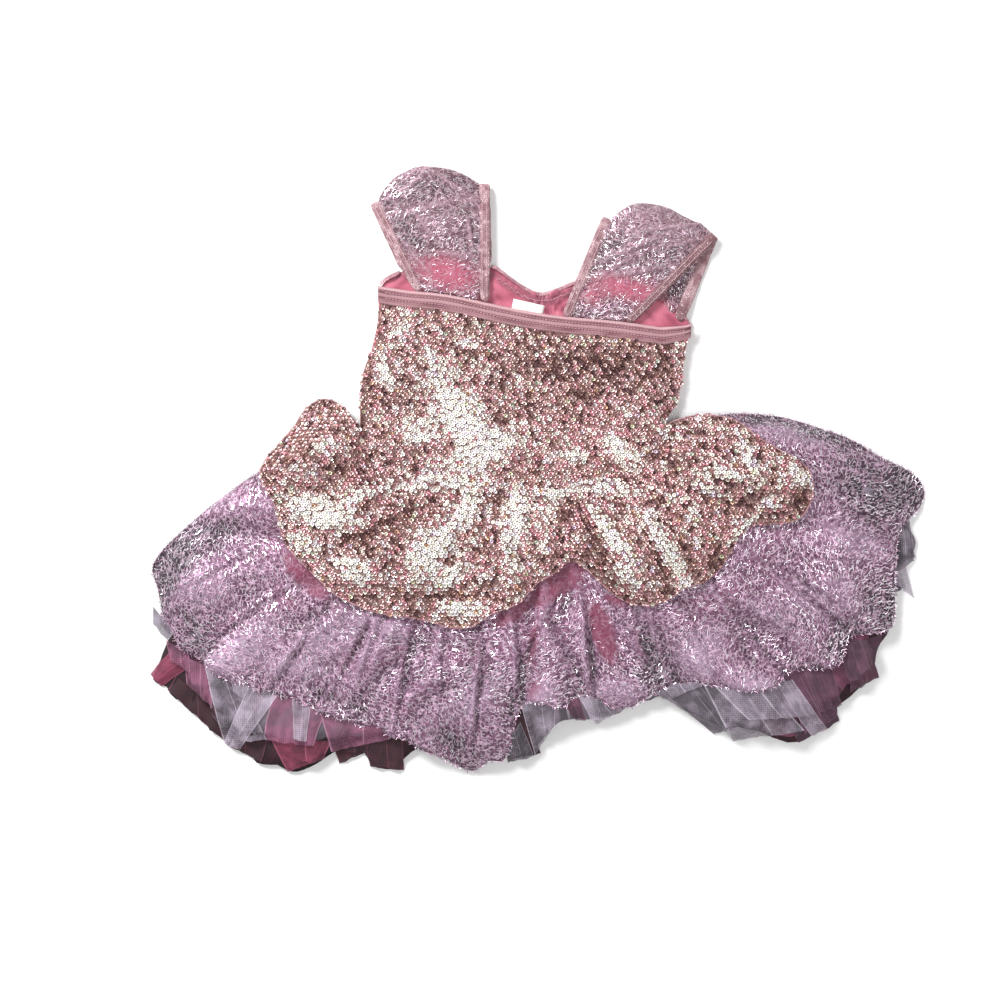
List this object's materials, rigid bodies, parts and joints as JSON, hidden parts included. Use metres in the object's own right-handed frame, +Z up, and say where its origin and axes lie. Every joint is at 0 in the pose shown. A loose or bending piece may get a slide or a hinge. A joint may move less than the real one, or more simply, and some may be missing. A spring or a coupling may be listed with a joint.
{
  "type": "ballet costume",
  "caption": "Child's ballet costume laid flat with its back up: sequinned bodice and peplum, wide gathered net straps, and a full tutu skirt of glitter net over layered tulle.",
  "frame": {"origin": "middle of the costume's outline seen from above, on the surface it lies on", "axes": "+X across the skirt from its left to its right as seen from above, +Y from the hem to the straps, +Z up"},
  "size_m": [0.6212, 0.4896, 0.042],
  "materials": {
    "sequins": "stretch net covered with rose-gold cup sequins",
    "net": "lilac-pink net with silver thread",
    "white_tulle": "fine white tulle, grey where it is seen through",
    "pink_tulle": "fine pink tulle",
    "rose_tulle": "rose tulle, dark where its layers lie together",
    "lining": "smooth pink stretch jersey",
    "elastic": "satin-edged fold-over elastic",
    "trim": "narrow binding with a little glitter",
    "label": "white satin label, bare"
  },
  "bodies": {
    "root": {"bodice_back": "sequins", "bodice_front": "sequins", "peplum_back": "sequins", "peplum_front": "sequins", "back_top_elastic": "elastic", "front_lining": "lining", "neckline_binding": "trim", "armhole_binding_left": "trim", "armhole_binding_right": "trim", "strap_left_outer_binding": "trim", "strap_left_inner_binding": "trim", "strap_right_outer_binding": "trim", "strap_right_inner_binding": "trim", "strap_left_net": "net", "strap_right_net": "net", "net_back": "net", "net_front": "net", "white_tulle_back": "white_tulle", "white_tulle_front": "white_tulle", "pink_tulle_back": "pink_tulle", "pink_tulle_front": "pink_tulle", "rose_tulle_back": "rose_tulle", "rose_tulle_front": "rose_tulle", "label": "label"}
  },
  "joints": []
}
